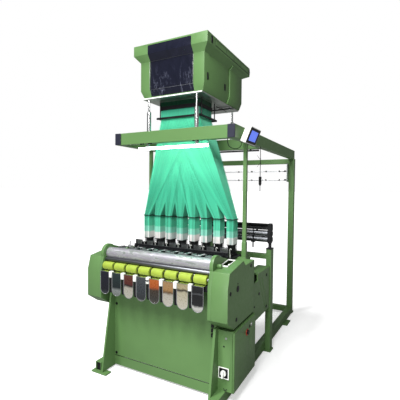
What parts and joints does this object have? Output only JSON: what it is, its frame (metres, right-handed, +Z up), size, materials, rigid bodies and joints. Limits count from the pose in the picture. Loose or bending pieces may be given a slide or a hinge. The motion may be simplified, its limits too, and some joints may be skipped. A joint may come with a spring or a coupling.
{
  "type": "power loom",
  "caption": "Jacquard needle loom for narrow tapes: a pattern head on a gantry, a fanned cord harness, take-up rollers, tape chutes and a green stand.",
  "frame": {"origin": "on the floor, under the middle of the loom's bounding box", "axes": "+Z up, +Y from the weaver's side to the yarn side, +X to the weaver's right"},
  "size_m": [1.3416, 2.279, 2.75],
  "materials": {
    "sage_paint": "satin sage-green machine paint",
    "dark_green_paint": "satin dark green paint",
    "black_paint": "satin black paint",
    "black_plastic": "moulded black plastic",
    "white_plastic": "moulded white plastic",
    "smoked_glass": "smoked glazing",
    "aluminium": "satin anodised",
    "steel": "ground steel",
    "polished_steel": "polished",
    "foil": "crinkled bright cover on the roller",
    "lime_rubber": "lime green rubber",
    "belt_rubber": "woven belt",
    "cast_iron": "dark casting",
    "harness_cord": "mint green cords",
    "lamp": "lit diffuser",
    "red_plastic": "black and red plastic"
  },
  "bodies": {
    "frame": {"base_rails": "sage_paint", "beam_end_caps": "black_plastic", "cabinet_body": "sage_paint", "comber_board": "black_plastic", "cross_beams": "sage_paint", "display_bracket": "sage_paint", "display_cable": "black_plastic", "drive_belt": "belt_rubber", "fell_plates": "steel", "floor_ties": "sage_paint", "foot_plates": "sage_paint", "front_panel": "sage_paint", "guide_frame": "black_paint", "guide_rail": "black_paint", "guide_rods": "steel", "guide_sleeves": "white_plastic", "hand_tool": "black_plastic", "harness_cords": "harness_cord", "harness_rings": "black_plastic", "head_base": "aluminium", "head_columns": "aluminium", "head_shell": "sage_paint", "heald_springs": "steel", "hook_modules": "black_plastic", "housing_left": "sage_paint", "housing_right": "sage_paint", "kick_panel": "sage_paint", "led_lamp": "lamp", "leg_plates": "sage_paint", "mid_posts": "sage_paint", "motor": "cast_iron", "rear_brackets": "sage_paint", "rear_posts": "sage_paint", "rear_roller_frame": "black_paint", "roller_posts": "sage_paint", "side_beam_left": "sage_paint", "side_beam_right": "sage_paint", "side_frame_left": "sage_paint", "side_frame_right": "sage_paint", "tape_guides": "polished_steel", "tool_cord": "black_plastic", "weaving_bed": "cast_iron"},
    "take_up": {"take_up_roller": "foil"},
    "press": {"press_roller": "steel"},
    "draw_off": {"draw_off_shaft": "steel", "rubber_rollers": "lime_rubber"},
    "feed_low": {"feed_roller_lower": "steel"},
    "feed_high": {"feed_roller_upper": "steel"},
    "drive_shaft": {"main_shaft": "steel"},
    "motor_rotor": {"motor_pulley": "cast_iron"},
    "batten": {"reed_batten": "steel"},
    "weft_needles": {"weft_needle_bar": "steel"},
    "knitting_needles": {"knitting_needle_bar": "steel"},
    "window": {"head_window": "smoked_glass"},
    "door": {"cabinet_door": "sage_paint"},
    "button": {"stop_button": "red_plastic"},
    "knob": {"switch_knob": "white_plastic"},
    "display": {"display_case": "white_plastic"},
    "knives_low": {"knife_frame_lower": "steel"},
    "knives_high": {"knife_frame_upper": "steel"}
  },
  "joints": [
    {"name": "take_up_turn", "type": "hinge", "parent": "frame", "child": "take_up", "pos_m": [-0.01085, -0.99044, 0.98692], "axis": [1, 0, 0], "continuous": true},
    {"name": "press_turn", "type": "hinge", "parent": "frame", "child": "press", "pos_m": [-0.01085, -1.03547, 0.93997], "axis": [1, 0, 0], "continuous": true},
    {"name": "draw_off_turn", "type": "hinge", "parent": "frame", "child": "draw_off", "pos_m": [-0.01085, -1.0615, 0.893], "axis": [1, 0, 0], "continuous": true},
    {"name": "feed_low_turn", "type": "hinge", "parent": "frame", "child": "feed_low", "pos_m": [-0.01085, -0.0305, 1.065], "axis": [1, 0, 0], "continuous": true},
    {"name": "feed_high_turn", "type": "hinge", "parent": "frame", "child": "feed_high", "pos_m": [-0.01085, -0.0305, 1.122], "axis": [1, 0, 0], "continuous": true},
    {"name": "drive_shaft_turn", "type": "hinge", "parent": "frame", "child": "drive_shaft", "pos_m": [-0.01085, -0.7755, 0.79], "axis": [1, 0, 0], "continuous": true},
    {"name": "motor_turn", "type": "hinge", "parent": "frame", "child": "motor_rotor", "pos_m": [-0.01085, -0.7755, 0.18], "axis": [1, 0, 0], "continuous": true},
    {"name": "batten_swing", "type": "hinge", "parent": "frame", "child": "batten", "pos_m": [-0.01085, -0.6755, 0.905], "axis": [1, 0, 0], "range_deg": [0, 12]},
    {"name": "weft_needle_slide", "type": "slide", "parent": "frame", "child": "weft_needles", "axis": [1, 0, 0], "range_m": [-0.05, 0]},
    {"name": "knitting_needle_slide", "type": "slide", "parent": "frame", "child": "knitting_needles", "axis": [0, 1, 0], "range_m": [0, 0.015]},
    {"name": "window_hinge", "type": "hinge", "parent": "frame", "child": "window", "pos_m": [-0.01085, -0.8505, 2.73], "axis": [1, 0, 0], "range_deg": [-75, 0]},
    {"name": "door_hinge", "type": "hinge", "parent": "frame", "child": "door", "pos_m": [0.64815, -0.9875, 0.092], "axis": [0, 0, 1], "range_deg": [-110, 0]},
    {"name": "button_push", "type": "slide", "parent": "door", "child": "button", "axis": [1, 0, 0], "range_m": [-0.005, 0], "stiffness_N_per_m": 400},
    {"name": "switch_turn", "type": "hinge", "parent": "frame", "child": "knob", "pos_m": [0.57615, -0.9935, 0.225], "axis": [0, 1, 0], "range_deg": [0, 90]},
    {"name": "display_tilt", "type": "hinge", "parent": "frame", "child": "display", "pos_m": [0.58515, -0.6155, 1.985], "axis": [0, 1, 0], "range_deg": [-20, 0]},
    {"name": "knife_low_lift", "type": "slide", "parent": "frame", "child": "knives_low", "axis": [0, 0, 1], "range_m": [0, 0.04]},
    {"name": "knife_high_lift", "type": "slide", "parent": "frame", "child": "knives_high", "axis": [0, 0, 1], "range_m": [-0.04, 0]}
  ],
  "couplings": [
    {"joint": "press_turn", "follows": "take_up_turn", "ratio": -2.8742},
    {"joint": "draw_off_turn", "follows": "take_up_turn", "ratio": -1.5},
    {"joint": "feed_high_turn", "follows": "feed_low_turn", "ratio": -1},
    {"joint": "motor_turn", "follows": "drive_shaft_turn", "ratio": 2.4444},
    {"joint": "knife_high_lift", "follows": "knife_low_lift", "ratio": -1}
  ]
}
